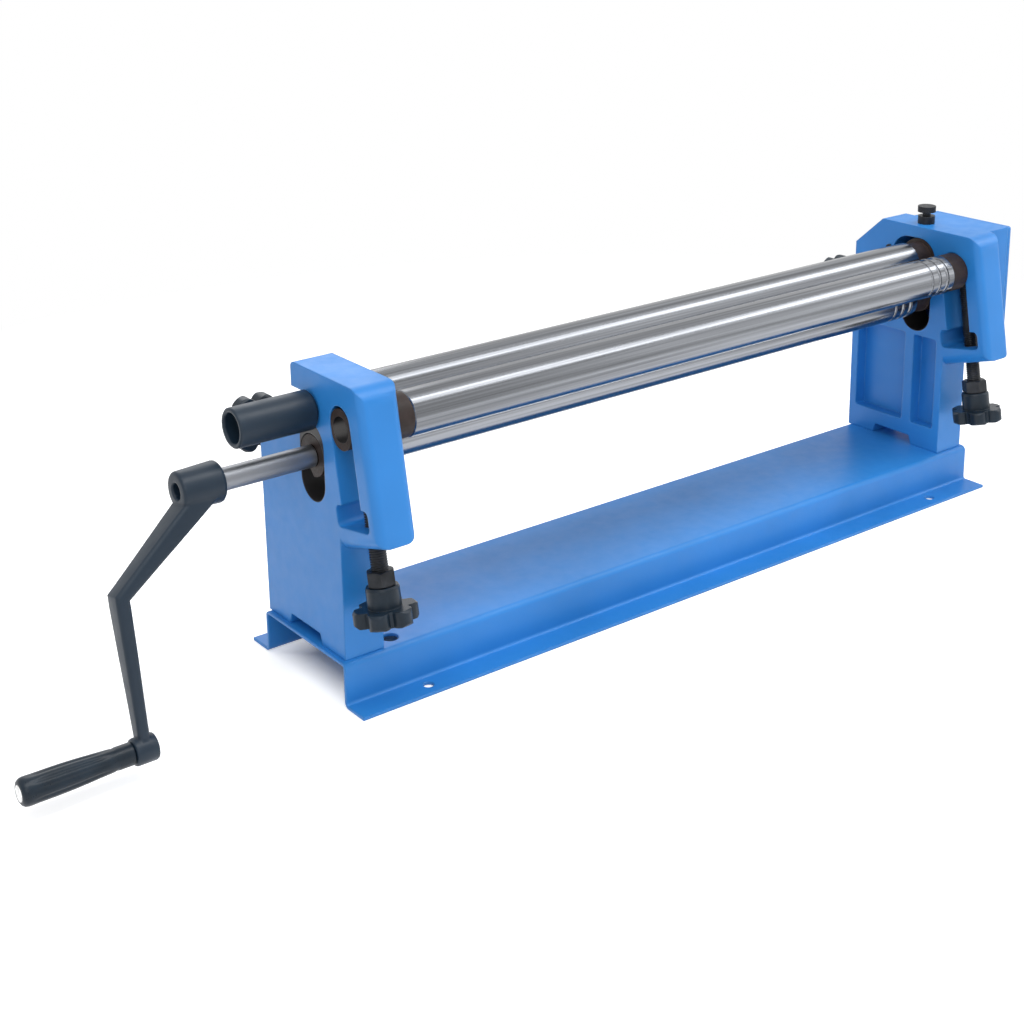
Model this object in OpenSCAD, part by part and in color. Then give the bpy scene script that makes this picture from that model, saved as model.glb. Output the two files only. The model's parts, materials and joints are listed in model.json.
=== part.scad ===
// Bench slip roll: three rolls between two cast end frames on a bent sheet base.
// X runs along the rolls, +Y to the back, +Z up. The origin is the middle of the
// four bench bolt holes, on the bench. All lengths are in millimetres.

/* [Base] */
// Length of the base, along the rolls
base_l = 760; // [640:10:1000]
// Width of the base over its two webs
base_w = 125; // [118:1:150]
// Height of the base
base_h = 38; // [30:1:60]
// Thickness of the base's sheet
base_t = 2.5; // [1.5:0.1:4]
// Outside radius of the sheet's bends
bend_r = 5; // [4.5:0.1:8]
// Width of each flange beyond its web
flange_w = 25; // [22:1:40]
// Diameter of the four bench bolt holes
mount_hole_d = 9; // [6:0.5:12]
// Bench bolt holes, from the ends of the base
mount_end = 70; // [20:1:150]
// Bench bolt holes, from the web beside them
mount_out = 12.5; // [11:0.5:14]
// Diameter of the spare hole in the base's top
plate_hole_d = 14; // [6:0.5:20]
// Spare hole, from the inner face of the left frame
plate_hole_in = 14; // [10:0.5:60]
// Spare hole, from the front web
plate_hole_back = 17.5; // [12:0.5:40]

/* [End frames] */
// Thickness of each end frame, along the rolls
frame_t = 36; // [30:0.5:44]
// Step from the end of the base to the frame's outer face
frame_inset = 4; // [0:0.5:20]
// Step from the front web back to the front of the leg
leg_step = 5; // [3:0.5:10]
// Height of the frame above the base
frame_h = 233.5; // [225:0.5:250]
// Underside of the arm at the leg, below the frame's top
arm_drop = 138.5; // [134:0.5:148]
// Reach of the arm beyond the leg, at its lower corner
arm_reach = 57; // [52:0.5:66]
// Lean of the arm, its slot and its screw from upright, in degrees
tilt = 10; // [6:0.5:12]
// Radius of the nose between the arm's front and the top
nose_r = 16; // [6:0.5:20]
// Radius of the upright edges of the arm's front
edge_r = 8; // [2:0.5:12]
// Radius of the small corners of the castings
corner_r = 5; // [1:0.5:6]
// Underside of the solid head, below the frame's top
head_drop = 113.5; // [112.5:0.5:123]
// Depth of the panels in the leg's inner face
panel_d = 13; // [4:0.5:18]
// Width of the rims at the leg's front and back
rim_w = 8.5; // [6:0.5:14]
// Width of the rib between the panels
rib_w = 11.5; // [6:0.5:16]
// Middle of the rib, behind the front of the leg
rib_in = 43; // [38:0.5:50]
// Height of the solid foot
foot_h = 24.5; // [22:0.5:30]
// Height of the arch under the foot
arch_h = 9.5; // [4:0.5:12]
// Width of the foot's front pad, ahead of the arch
front_pad_w = 35; // [32:0.5:40]
// Width of the foot's back pad, behind the arch
back_pad_w = 34; // [31:0.5:40]
// Slope of each end of the arch
arch_slope = 3; // [0:0.5:5]

/* [Top roll's openings] */
// Thickness of the hook over the left slot
hook_t = 20.5; // [16:0.5:30]
// Back end of the hook, behind the roll's axis
hook_l = 27.5; // [20:0.5:50]
// Back end of the slot's level floor, behind the roll's axis
floor_l = 24; // [18:0.5:40]
// Drop of the ramp from that floor to the back of the frame
ramp_drop = 24; // [10:1:28]
// Back chamfer of the right frame, measured along the top
chamfer_l = 34.5; // [10:0.5:40]
// Back chamfer of the right frame, measured down the back
chamfer_h = 30.5; // [10:0.5:40]
// Length of the right opening behind the roll's axis
release_l = 13; // [9:0.5:16]

/* [Gear housing] */
// Depth of the housing outside the right frame
house_d = 30; // [24:0.5:50]
// Thickness of its walls
house_t = 5; // [3:0.5:8]
// Its front face, ahead of the rolls' axis
house_front = 58; // [50:0.5:60]
// Its back face, behind the rolls' axis
house_back = 37; // [32:0.5:44]
// Its bottom below the lower roll's axis
house_drop = 48.4; // [42.4:0.1:52.4]
// Thickness of the outer cover plate
cover_t = 4; // [2:0.5:6]
// Diameter of the bosses for the cover's screws
cover_boss_d = 14; // [9:0.5:16]

/* [Rolls] */
// Diameter of the three rolls
roll_d = 38; // [34:0.5:38.5]
// Gap between the top and lower rolls at rest
roll_gap = 0.4; // [0.3:0.1:1.5]
// Collar space between each roll end and its frame
collar_l = 20; // [12:0.5:40]
// Axis of the top and lower rolls, behind the front of the leg
pinch_in = 37; // [34:0.5:40]
// Top roll's axis below the frame's top
top_axis_drop = 32.7; // [32.7:0.1:36]
// Bending roll's axis ahead of the other two
bend_y = 44.1; // [42:0.1:46]
// Bending roll's axis below the top roll's
bend_drop = 4.7; // [2:0.1:10]
// Diameter of the bending roll's journals
bend_journal_d = 21; // [14:0.5:23]
// Diameter of the top roll's left journal
slip_journal_d = 16; // [10:0.5:19]
// Diameter of the lower roll's journals and of its crank shaft
shaft_d = 18; // [16.5:0.5:20]
// Diameter of the top roll's right journal
right_journal_d = 24; // [20:0.5:28]
// Diameter of the two gear seats
gear_seat_d = 16; // [13:0.5:16]
// Radii of the three wire grooves, from the roll's end inwards
wire_1 = 2.5; // [0.5:0.1:3]
wire_2 = 2; // [0.5:0.1:3]
wire_3 = 1.5; // [0.5:0.1:3]
// Spacing of the wire grooves and of the first from the end
wire_step = 11; // [8:0.5:16]
// Chamfer on the ends of the rolls
roll_chamfer = 1; // [0.3:0.1:3]

/* [Bearings] */
// Width of the slanted slots in the arms
slot_w = 28.5; // [27.5:0.1:30]
// Slanted slot above the bending roll's axis at rest
slot_up = 4.5; // [3.5:0.1:6]
// Middle of the pocket at the foot of the slanted slot, below the axis
pocket_drop = 70; // [66:0.5:72]
// Width of that pocket
pocket_w = 46; // [36:0.5:46]
// Height of that pocket
pocket_h = 18; // [12:0.5:20]
// Height of the bending roll's bearing blocks
block_h = 33; // [29.5:0.5:36]
// Diameter of the collars of the bending roll's blocks
block_collar_d = 37; // [30:0.5:38]
// Width of the lower roll's slots
low_slot_w = 35; // [33:0.1:35.5]
// Height of the lower roll's slots
low_slot_h = 56; // [52:0.5:57]
// Top of the lower roll's slot above the roll's axis
low_slot_up = 18.2; // [17.8:0.1:19]
// Wedge flat on the lower blocks, from the roll's axis
wedge_flat = 11.5; // [10:0.1:12.5]
// Diameter of the top roll's left block
slip_block_d = 24; // [20:0.1:24.4]
// Diameter of the top roll's right block
right_block_d = 41; // [36:0.1:41]
// Diameter of that block's collar, between the frame and the roll
right_collar_d = 34; // [26:0.5:36]
// Diameter of the collars of the lower roll's blocks
low_collar_d = 33; // [22:0.5:33.5]

/* [Screws and knobs] */
// Diameter of the four adjusting screws
screw_d = 14; // [8:0.5:16]
// Adjusting screws of the lower roll, below its axis
rear_drop = 11.4; // [11:0.1:13]
// Bare thread between arm and nut on the front screws
front_gap = 16; // [5:0.5:20]
// Bare thread between frame and nut on the rear screws
rear_gap = 6; // [4:0.5:20]
// Length of the wedge pins of the rear screws
pin_l = 34; // [28:0.5:44]
// Width across the flats of the knobs' nuts
nut_w = 21; // [17.5:0.5:26]
// Height of the knobs' nuts
nut_h = 12.5; // [5:0.5:14]
// Diameter of the knobs over their lobes
knob_d = 52; // [36:0.5:56]
// Thickness of the lobed part of the knobs
knob_t = 12.5; // [10:0.5:20]
// Diameter of the knobs' hubs
knob_hub_d = 27; // [23:0.5:32]
// Height of the knobs' hubs above the lobes
knob_hub_h = 17; // [6:0.5:18]
// Number of lobes on a knob
knob_lobes = 6; // [4:1:8]

/* [Lock screw] */
// Diameter of the lock screw over the right block
lock_d = 8; // [5:0.5:10]
// Lock screw behind the rolls' axis
lock_y = 7; // [4:0.5:9]
// Diameter of its knurled head
lock_head_d = 18; // [12:0.5:24]
// Thickness of its knurled head
lock_head_t = 6; // [3:0.5:10]
// Neck between its nut and its head
lock_neck = 4; // [3.5:0.5:12]
// Diameter of its round nut
lock_nut_d = 17; // [12:0.5:20]
// Height of its round nut
lock_nut_h = 8; // [4:0.5:12]
// Thickness of the pad under its tip
lock_pad_t = 3; // [1.5:0.5:5]

/* [Sleeve and crank] */
// Diameter of the sleeve on the top roll's left end
sleeve_d = 32; // [26:0.5:40]
// Length of that sleeve
sleeve_l = 67; // [30:1:120]
// Hollow in the sleeve's open end, diameter
sleeve_hollow_d = 24; // [19.5:0.5:25]
// Hollow in the sleeve's open end, depth
sleeve_hollow_l = 16; // [4:0.5:25]
// Crank hub's near end, from the left frame's outer face
crank_gap = 82; // [76:1:140]
// Length of the crank's hub
hub_l = 35; // [20:0.5:50]
// Diameter of the hub at the machine
hub_d = 33; // [28:0.5:44]
// Diameter of the hub at its outer end
hub_end_d = 29; // [26:0.5:40]
// Diameter of the hole in the hub's outer end
hub_hole_d = 13; // [6:0.5:16]
// Radius from the shaft to the grip
crank_r = 180; // [140:1:184]
// Radius from the shaft to the crank's elbow
elbow_r = 65; // [45:1:90]
// Step outwards from the hub's outer end to the elbow
elbow_out = 57; // [30:1:80]
// Angle of the crank from straight down, in degrees
crank_angle = 11.5; // [0:0.5:360]
// Width of the crank's bar at the hub
bar_hub_w = 18; // [14:0.5:26]
// Width of the crank's bar at the grip
bar_end_w = 11; // [8:0.5:18]
// Thickness of the crank's bar at the elbow
bar_t = 9.5; // [7:0.5:14]
// Thickness of the crank's bar at the grip
bar_end_t = 7.5; // [5:0.5:10]
// Diameter of the boss that carries the grip
boss_d = 21; // [18:0.5:24]
// Length of that boss
boss_l = 18; // [12:0.5:24]
// Length of the grip
grip_l = 86; // [60:1:120]
// Diameter of the grip at the boss
grip_d = 17; // [15:0.5:20]
// Largest diameter of the grip
grip_big_d = 21; // [18:0.5:28]
// Diameter of the grip's axle bolt
grip_bolt_d = 8; // [5:0.5:9]

/* [Gears] */
// Teeth on each gear
gear_teeth = 16; // [14:1:20]
// Width of the gears' faces
gear_w = 10; // [6:0.5:14]
// Thinning of each tooth, for the change of roll gap and the release
gear_thin = 0.5; // [0.3:0.05:0.6]

/* [Fasteners] */
// Diameter of the bolts between frames and base
foot_bolt_d = 10; // [6:0.5:12]
// Thread of those bolts in the casting
foot_bolt_grip = 20; // [10:1:24]
// Diameter of the cover's screws
cover_screw_d = 5; // [3:0.5:6]

/* [Hidden] */

// Faces on a full circle, for rolls and bores, for small rounds and for fine rounds
round_fn = 96;
small_fn = 48;
// Overrun of every cut past the face that it opens
over = 1;
// Clearance of a shaft in its bore, on the radius
run_fit = 0.05;
// Clearance of a block on each side of its slot
slide_fit = 0.2;
// Gap between faces that turn or slide past each other
face_gap = 0.3;

// Places along the rolls
frame_out = base_l / 2 - frame_inset;
frame_in = frame_out - frame_t;
frame_mid = frame_out - frame_t / 2;
roll_end = frame_in - collar_l;

// Outline of the frames, front to back and up
frame_depth = base_w - leg_step;
leg_back = base_w / 2;
leg_front = leg_back - frame_depth;
frame_top = base_h + frame_h;
arm_low = frame_top - arm_drop;
arm_corner = [leg_front - arm_reach, arm_low + arm_reach * tan(tilt)];
function front_at(z) = arm_corner[0] + (z - arm_corner[1]) * tan(tilt);
nose_mid = [front_at(frame_top - nose_r) + nose_r / cos(tilt), frame_top - nose_r];

// Roll axes, as front to back and up
roll_pitch = roll_d + roll_gap;
pinch_y = leg_front + pinch_in;
top_axis = [pinch_y, frame_top - top_axis_drop];
low_axis = top_axis - [0, roll_pitch];
bend_axis = [pinch_y - bend_y, top_axis[1] - bend_drop];

// A point on the slanted slot's middle line, at a distance above the bending axis
function on_tilt(up) = bend_axis + up * [sin(tilt), cos(tilt)];

// Bearing sizes
slip_slot_r = frame_h + base_h - hook_t - top_axis[1];
right_open_r = right_block_d / 2 + slide_fit;
low_block_r = low_slot_w / 2 - slide_fit;
low_slot_mid_up = low_axis[1] + low_slot_up - low_slot_w / 2;
low_slot_mid_down = low_axis[1] + low_slot_up - low_slot_h + low_slot_w / 2;
block_w = slot_w - 2 * slide_fit;
block_out = frame_out - face_gap;
collar_in = roll_end + face_gap;

// Screw lines
arm_under_up = -(bend_axis[1] - arm_low
    - (leg_front - bend_axis[0]) * tan(tilt)) * cos(tilt);
rear_z = low_axis[1] - rear_drop;
// Wedge nose: where the 45 degree flat crosses the pin's axis
wedge_y = low_axis[0] + wedge_flat * sqrt(2) - rear_drop;
nose_y = wedge_y + run_fit * sqrt(2);
pin_end = nose_y + pin_l;
screw_tip = 4;

// Gear housing and gears
gear_mid = frame_out + house_d / 2;
house_low = low_axis[1] - house_drop;
house_y0 = pinch_y - house_front;
house_y1 = pinch_y + house_back;
gear_m = roll_pitch / gear_teeth;
gear_r = roll_pitch / 2;
gear_add_share = 0.9;
gear_ded_share = 1.2;
pressure = 20;
flank_steps = 4;
clip_t = 1.2;
clip_deep = 0.8;
clip_out = 2.4;
key_w = 5;
key_sink = 2.5;
key_proud = 2;
shaft_past = 3;

// Crank
hub_x = -frame_out - crank_gap;
hub_out_x = hub_x - hub_l;
elbow_x = hub_out_x - elbow_out;
hub_chamfer = 2;
set_screw_d = 6;
set_screw_l = 6;
shaft_short = 10;
grip_gap = 0.5;
grip_head_d = 12.5;
grip_head_t = 4;
grip_x = elbow_x - boss_l / 2 - grip_gap;

// Sleeve
sleeve_gap = 1.5;
sleeve_x = -frame_out - sleeve_gap;
sleeve_chamfer = 1;

// Fasteners
bolt_head_share = 0.64;
hex_share = 1.7;
washer_t = 2;
washer_share = 2;
bolt_hole_gap = 0.5;
front_pad_y = leg_front + front_pad_w / 2;
back_pad_y = leg_back - back_pad_w / 2;
cover_edge = 9;
cover_head_share = 1.8;
cover_head_t = 3;
cover_screw_l = 14;
side_screw_d = 4;
side_screw_l = 10;
side_head_d = 7.5;
side_head_t = 2.5;
side_screw_back = 38;
side_screw_up = 4;
knurl_grooves = 24;
knurl_r = 0.6;

// Extrudes a front-to-back outline along the rolls, from x0 to x1
module along_x(x0, x1) {
    translate([x0, 0, 0])
        rotate([90, 0, 90])
            linear_extrude(x1 - x0)
                children();
}

// A cylinder along the rolls, from x0 to x1, about the axis [y, z]
module rod_x(x0, x1, axis, d, fn = round_fn) {
    translate([x0, axis[0], axis[1]])
        rotate([0, 90, 0])
            cylinder(h = x1 - x0, d = d, $fn = fn);
}

// Turns a profile of [radius, x] points about the axis [y, z]
module turned_x(points, axis, fn = round_fn) {
    translate([0, axis[0], axis[1]])
        rotate([0, 90, 0])
            rotate_extrude($fn = fn)
                polygon(points);
}

// Places children on the tilted line of the front screws, with +Z up the line
module on_front_line(x, up) {
    point = on_tilt(up);
    translate([x, point[0], point[1]])
        rotate([-tilt, 0, 0])
            children();
}

// Places children at the back of a frame, with +Z out along the rear screw
module on_rear_line(x, y) {
    translate([x, y, rear_z])
        rotate([-90, 0, 0])
            children();
}

// A flat rectangle from its low corner, with rounded corners
module soft_square(low, size, r) {
    translate(low + [r, 0])
        square([size[0] - 2 * r, size[1]]);
    translate(low + [0, r])
        square([size[0], size[1] - 2 * r]);
    for (dx = [r, size[0] - r])
        for (dy = [r, size[1] - r])
            translate(low + [dx, dy])
                circle(r = r, $fn = small_fn);
}

// A slot outline between two centres on one upright line
module upright_slot(y, z0, z1, w) {
    translate([y - w / 2, z0])
        square([w, z1 - z0]);
    for (z = [z0, z1])
        translate([y, z])
            circle(d = w, $fn = round_fn);
}

// A quarter bend of the base's sheet
module bend_corner(mid, side_y, side_z) {
    translate(mid)
        intersection() {
            difference() {
                circle(r = bend_r, $fn = small_fn);
                circle(r = bend_r - base_t, $fn = small_fn);
            }
            translate([side_y < 0 ? -bend_r : 0, side_z < 0 ? -bend_r : 0])
                square(bend_r);
        }
}

// Section of the base: an upturned channel with flanges turned outwards
module base_section() {
    web_out = base_w / 2;
    translate([-web_out + bend_r, base_h - base_t])
        square([base_w - 2 * bend_r, base_t]);
    for (side = [-1, 1]) {
        mirror([side < 0 ? 1 : 0, 0]) {
            bend_corner([web_out - bend_r, base_h - bend_r], 1, 1);
            translate([web_out - base_t, bend_r])
                square([base_t, base_h - 2 * bend_r]);
            bend_corner([web_out + bend_r - base_t, bend_r], -1, -1);
            translate([web_out + bend_r - base_t, 0])
                square([flange_w - bend_r + base_t, base_t]);
        }
    }
}

module base_plate() {
    color("dodgerblue")
        difference() {
            along_x(-base_l / 2, base_l / 2)
                base_section();
            for (x = [-1, 1])
                for (y = [-1, 1])
                    translate([x * (base_l / 2 - mount_end), y * (base_w / 2 + mount_out), -over])
                        cylinder(h = base_t + 2 * over, d = mount_hole_d, $fn = small_fn);
            for (x = [-frame_mid, frame_mid])
                for (y = [front_pad_y, back_pad_y])
                    translate([x, y, base_h - base_t - over])
                        cylinder(h = base_t + 2 * over, d = foot_bolt_d + 2 * bolt_hole_gap, $fn = small_fn);
            translate([-frame_in + plate_hole_in, -base_w / 2 + plate_hole_back, base_h - base_t - over])
                cylinder(h = base_t + 2 * over, d = plate_hole_d, $fn = small_fn);
        }
}

// Outline of an end frame seen along the rolls, before its slots
module frame_outline(hooked) {
    nose_line = nose_mid - nose_r * [cos(tilt), -sin(tilt)];
    hook_end = top_axis[0] + hook_l;
    floor_end = top_axis[0] + floor_l;
    floor_z = top_axis[1] - slip_slot_r;
    translate(nose_mid)
        circle(r = nose_r, $fn = round_fn);
    polygon(concat(
        [nose_line, arm_corner, [leg_front, arm_low], [leg_front, base_h],
         [leg_back, base_h]],
        hooked
            ? [[leg_back, floor_z - ramp_drop], [floor_end, floor_z], [top_axis[0], floor_z],
               [top_axis[0], top_axis[1] + slip_slot_r], [hook_end, top_axis[1] + slip_slot_r],
               [hook_end, frame_top - corner_r], [hook_end - corner_r, frame_top]]
            : [[leg_back, frame_top - chamfer_h], [leg_back - chamfer_l, frame_top]],
        [[nose_mid[0], frame_top]]
    ));
    if (hooked)
        translate([hook_end - corner_r, frame_top - corner_r])
            circle(r = corner_r, $fn = small_fn);
}

// Slanted slot with its wider pocket, as an outline on the frame's side
module tilted_slot_outline() {
    translate(bend_axis)
        rotate(-tilt) {
            upright_slot(0, -pocket_drop + (slot_w - pocket_h) / 2, slot_up, slot_w);
            soft_square([-pocket_w / 2, -pocket_drop - pocket_h / 2], [pocket_w, pocket_h], corner_r);
        }
}

// Arch cut under the foot, as an outline
module foot_arch_outline() {
    y0 = leg_front + front_pad_w;
    y1 = leg_back - back_pad_w;
    polygon([
        [y0, base_h - over], [y0, base_h], [y0 + arch_slope, base_h + arch_h],
        [y1 - arch_slope, base_h + arch_h], [y1, base_h], [y1, base_h - over]
    ]);
}

// The two sunk panels of the leg, as outlines
module panel_outlines() {
    z0 = base_h + foot_h;
    rib_y = leg_front + rib_in;
    front_w = rib_in - rib_w / 2 - rim_w;
    back_w = frame_depth - rib_in - rib_w / 2 - rim_w;
    panel_h = frame_h - head_drop - foot_h;
    soft_square([leg_front + rim_w, z0], [front_w, panel_h], corner_r / 2);
    soft_square([rib_y + rib_w / 2, z0], [back_w, panel_h], corner_r / 2);
}

// Rounds the upright edges of the arm's front and trims its face, from x0 to x1
module arm_trim(x0, x1) {
    deep = 2 * (frame_depth + arm_reach);
    low = -frame_h;
    translate([0, arm_corner[0], arm_corner[1]])
        rotate([-tilt, 0, 0])
            translate([0, 0, low])
                linear_extrude(3 * frame_h) {
                    translate([x0 + edge_r, 0])
                        square([x1 - x0 - 2 * edge_r, deep]);
                    translate([x0, edge_r])
                        square([x1 - x0, deep - edge_r]);
                    for (x = [x0 + edge_r, x1 - edge_r])
                        translate([x, edge_r])
                            circle(r = edge_r, $fn = small_fn);
                }
}

// Everything cut from a frame whose outer face looks to -X; side -1 is the left frame
module frame_cuts(side) {
    x0 = side * frame_mid - frame_t / 2 - over;
    x1 = side * frame_mid + frame_t / 2 + over;
    panel_x = side > 0 ? frame_in - over : -frame_in - panel_d;
    along_x(x0, x1) {
        tilted_slot_outline();
        foot_arch_outline();
        upright_slot(low_axis[0], low_slot_mid_down, low_slot_mid_up, low_slot_w);
    }
    along_x(panel_x, panel_x + panel_d + over)
        panel_outlines();
    on_front_line(side * frame_mid, arm_under_up - over)
        cylinder(h = 2 * over - pocket_drop - pocket_h / 2 - arm_under_up,
            d = screw_d + 2 * run_fit, $fn = small_fn);
    on_rear_line(side * frame_mid, low_axis[0])
        cylinder(h = leg_back - low_axis[0] + over, d = screw_d + 2 * run_fit, $fn = small_fn);
    for (y = [front_pad_y, back_pad_y])
        translate([side * frame_mid, y, base_h - over])
            cylinder(h = foot_bolt_grip + 2 * over, d = foot_bolt_d + 2 * run_fit, $fn = small_fn);
}

module left_frame() {
    color("dodgerblue")
        difference() {
            intersection() {
                along_x(-frame_out, -frame_in)
                    frame_outline(true);
                arm_trim(-frame_out, -frame_in);
            }
            frame_cuts(-1);
            along_x(-frame_out - over, -frame_in + over)
                translate(top_axis)
                    circle(r = slip_slot_r, $fn = round_fn);
        }
}

// Opening for the right block and for drawing the top roll back
module right_opening_outline() {
    translate(top_axis)
        rotate(-90)
            upright_slot(0, 0, release_l, 2 * right_open_r);
}

module right_frame() {
    house_x1 = frame_out + house_d;
    color("dodgerblue")
        difference() {
            union() {
                difference() {
                    intersection() {
                        along_x(frame_in, frame_out)
                            frame_outline(false);
                        arm_trim(frame_in, frame_out);
                    }
                    frame_cuts(1);
                    along_x(frame_in - over, frame_out + over)
                        right_opening_outline();
                }
                difference() {
                    along_x(frame_out, house_x1)
                        translate([house_y0, house_low])
                            square([house_y1 - house_y0, frame_top - house_low]);
                    along_x(frame_out - over, house_x1 + over)
                        soft_square([house_y0 + house_t, house_low + house_t],
                            [house_y1 - house_y0 - 2 * house_t, frame_top - house_low - 2 * house_t],
                            corner_r);
                }
                cover_screw_places()
                    translate([0, 0, -house_d])
                        cylinder(h = house_d, d = cover_boss_d, $fn = small_fn);
            }
            translate([frame_mid, top_axis[0] + lock_y, top_axis[1]])
                cylinder(h = frame_top - top_axis[1] + over, d = lock_d + 2 * run_fit, $fn = small_fn);
            cover_screw_places()
                translate([0, 0, -cover_screw_l])
                    cylinder(h = cover_screw_l + over, d = cover_screw_d + 2 * run_fit, $fn = small_fn);
            side_screw_place()
                translate([0, 0, -over])
                    cylinder(h = side_screw_l + 2 * over, d = side_screw_d + 2 * run_fit, $fn = small_fn);
        }
}

// Places children beside the right opening, with +Z into the frame's inner face
module side_screw_place() {
    translate([frame_in, top_axis[0] + side_screw_back, top_axis[1] + side_screw_up])
        rotate([0, 90, 0])
            children();
}

module side_screw() {
    r = side_head_d / 2;
    color("dimgray")
        side_screw_place()
            rotate_extrude($fn = small_fn)
                polygon([
                    [0, -side_head_t], [r / 2, -side_head_t], [r, -side_head_t / 2], [r, 0],
                    [side_screw_d / 2, 0], [side_screw_d / 2, side_screw_l], [0, side_screw_l]
                ]);
}

// Children at the four cover screws, with +Z out of the cover's seat
module cover_screw_places() {
    for (y = [house_y0 + cover_edge, house_y1 - cover_edge])
        for (z = [house_low + cover_edge, frame_top - cover_edge])
            translate([frame_out + house_d, y, z])
                rotate([0, 90, 0])
                    children();
}

module gear_cover() {
    color("dodgerblue")
        difference() {
            along_x(frame_out + house_d, frame_out + house_d + cover_t)
                soft_square([house_y0, house_low], [house_y1 - house_y0, frame_top - house_low],
                    corner_r / 2);
            cover_screw_places()
                translate([0, 0, -over])
                    cylinder(h = cover_t + 2 * over, d = cover_screw_d + 2 * run_fit, $fn = small_fn);
        }
}

module cover_screws() {
    color("dimgray")
        cover_screw_places() {
            translate([0, 0, cover_t])
                cylinder(h = cover_head_t, d = cover_head_share * cover_screw_d, $fn = small_fn);
            translate([0, 0, cover_t - cover_screw_l])
                cylinder(h = cover_screw_l, d = cover_screw_d, $fn = small_fn);
        }
}

// Children at the four foot bolts, on the base's top
module foot_bolt_places() {
    for (x = [-frame_mid, frame_mid])
        for (y = [front_pad_y, back_pad_y])
            translate([x, y, base_h])
                children();
}

module foot_bolts() {
    head_h = bolt_head_share * foot_bolt_d;
    seat = -base_t - washer_t;
    color("dimgray")
        foot_bolt_places() {
            translate([0, 0, seat - head_h])
                cylinder(h = head_h, d = hex_share * foot_bolt_d / cos(30), $fn = 6);
            translate([0, 0, seat])
                cylinder(h = foot_bolt_grip - seat, d = foot_bolt_d, $fn = small_fn);
        }
}

module foot_washers() {
    color("silver")
        foot_bolt_places()
            translate([0, 0, -base_t - washer_t])
                difference() {
                    cylinder(h = washer_t, d = washer_share * foot_bolt_d, $fn = small_fn);
                    translate([0, 0, -over])
                        cylinder(h = washer_t + 2 * over, d = foot_bolt_d + 2 * run_fit, $fn = small_fn);
                }
}

// Points of a round wire groove, as [radius, x], from its far edge back
function groove(x, w) = [for (a = [0:30:180]) [roll_d / 2 - w * sin(a), x + w * cos(a)]];

// Profile points of a roll's body, from its right end to its left end
function body_points(grooved) = concat(
    [[roll_d / 2 - roll_chamfer, roll_end], [roll_d / 2, roll_end - roll_chamfer]],
    grooved
        ? concat(groove(roll_end - wire_step, wire_1), groove(roll_end - 2 * wire_step, wire_2),
            groove(roll_end - 3 * wire_step, wire_3))
        : [],
    [[roll_d / 2, roll_chamfer - roll_end], [roll_d / 2 - roll_chamfer, -roll_end]]
);

// Right end of the top and lower rolls, inwards: gear seat with its clip groove, then journal
clip_x = gear_mid + gear_w / 2 + face_gap;
shaft_end = clip_x + clip_t + shaft_past;
function right_end_points(journal_r) =
    let (seat_r = gear_seat_d / 2, clip_r = seat_r - clip_deep,
         clip_x0 = clip_x - run_fit, clip_x1 = clip_x + clip_t + run_fit)
    [[0, shaft_end], [seat_r, shaft_end], [seat_r, clip_x1], [clip_r, clip_x1],
     [clip_r, clip_x0], [seat_r, clip_x0], [seat_r, block_out], [journal_r, block_out],
     [journal_r, roll_end]];

// Cut for a gear's key, in the shaft or the gear, about an axis
module key_space(axis, clear) {
    translate([gear_mid - gear_w / 2 - clear, axis[0] - key_w / 2 - clear,
               axis[1] - gear_seat_d / 2 - key_proud - clear])
        cube([gear_w + 2 * clear, key_w + 2 * clear, key_sink + key_proud + 2 * clear]);
}

module top_roll() {
    left_end = sleeve_x - sleeve_l + sleeve_hollow_l;
    color("silver")
        difference() {
            turned_x(concat(right_end_points(right_journal_d / 2), body_points(false), [
                [slip_journal_d / 2, -roll_end], [slip_journal_d / 2, left_end], [0, left_end]
            ]), top_axis);
            key_space(top_axis, run_fit);
        }
}

module lower_roll() {
    left_end = hub_out_x + shaft_short;
    color("silver")
        difference() {
            turned_x(concat(right_end_points(shaft_d / 2), body_points(true), [
                [shaft_d / 2, -roll_end], [shaft_d / 2, left_end], [0, left_end]
            ]), low_axis);
            key_space(low_axis, run_fit);
        }
}

module bending_roll() {
    journal = bend_journal_d / 2;
    color("silver")
        turned_x(concat(
            [[0, block_out], [journal, block_out], [journal, roll_end]],
            body_points(true),
            [[journal, -roll_end], [journal, -block_out], [0, -block_out]]
        ), bend_axis);
}

// Bearing block of the bending roll, with the collar that meets the roll's end
module bending_block(side) {
    half = (block_h - block_w) / 2;
    color("saddlebrown")
        difference() {
            union() {
                along_x(side > 0 ? frame_in - face_gap : -block_out,
                        side > 0 ? block_out : -frame_in + face_gap)
                    translate(bend_axis)
                        rotate(-tilt)
                            upright_slot(0, -half, half, block_w);
                rod_x(side > 0 ? collar_in : -frame_in + face_gap,
                      side > 0 ? frame_in - face_gap : -collar_in, bend_axis, block_collar_d);
            }
            rod_x(-block_out - over, block_out + over, bend_axis, bend_journal_d + 2 * run_fit);
        }
}

module bending_block_left() {
    bending_block(-1);
}

module bending_block_right() {
    bending_block(1);
}

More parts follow.
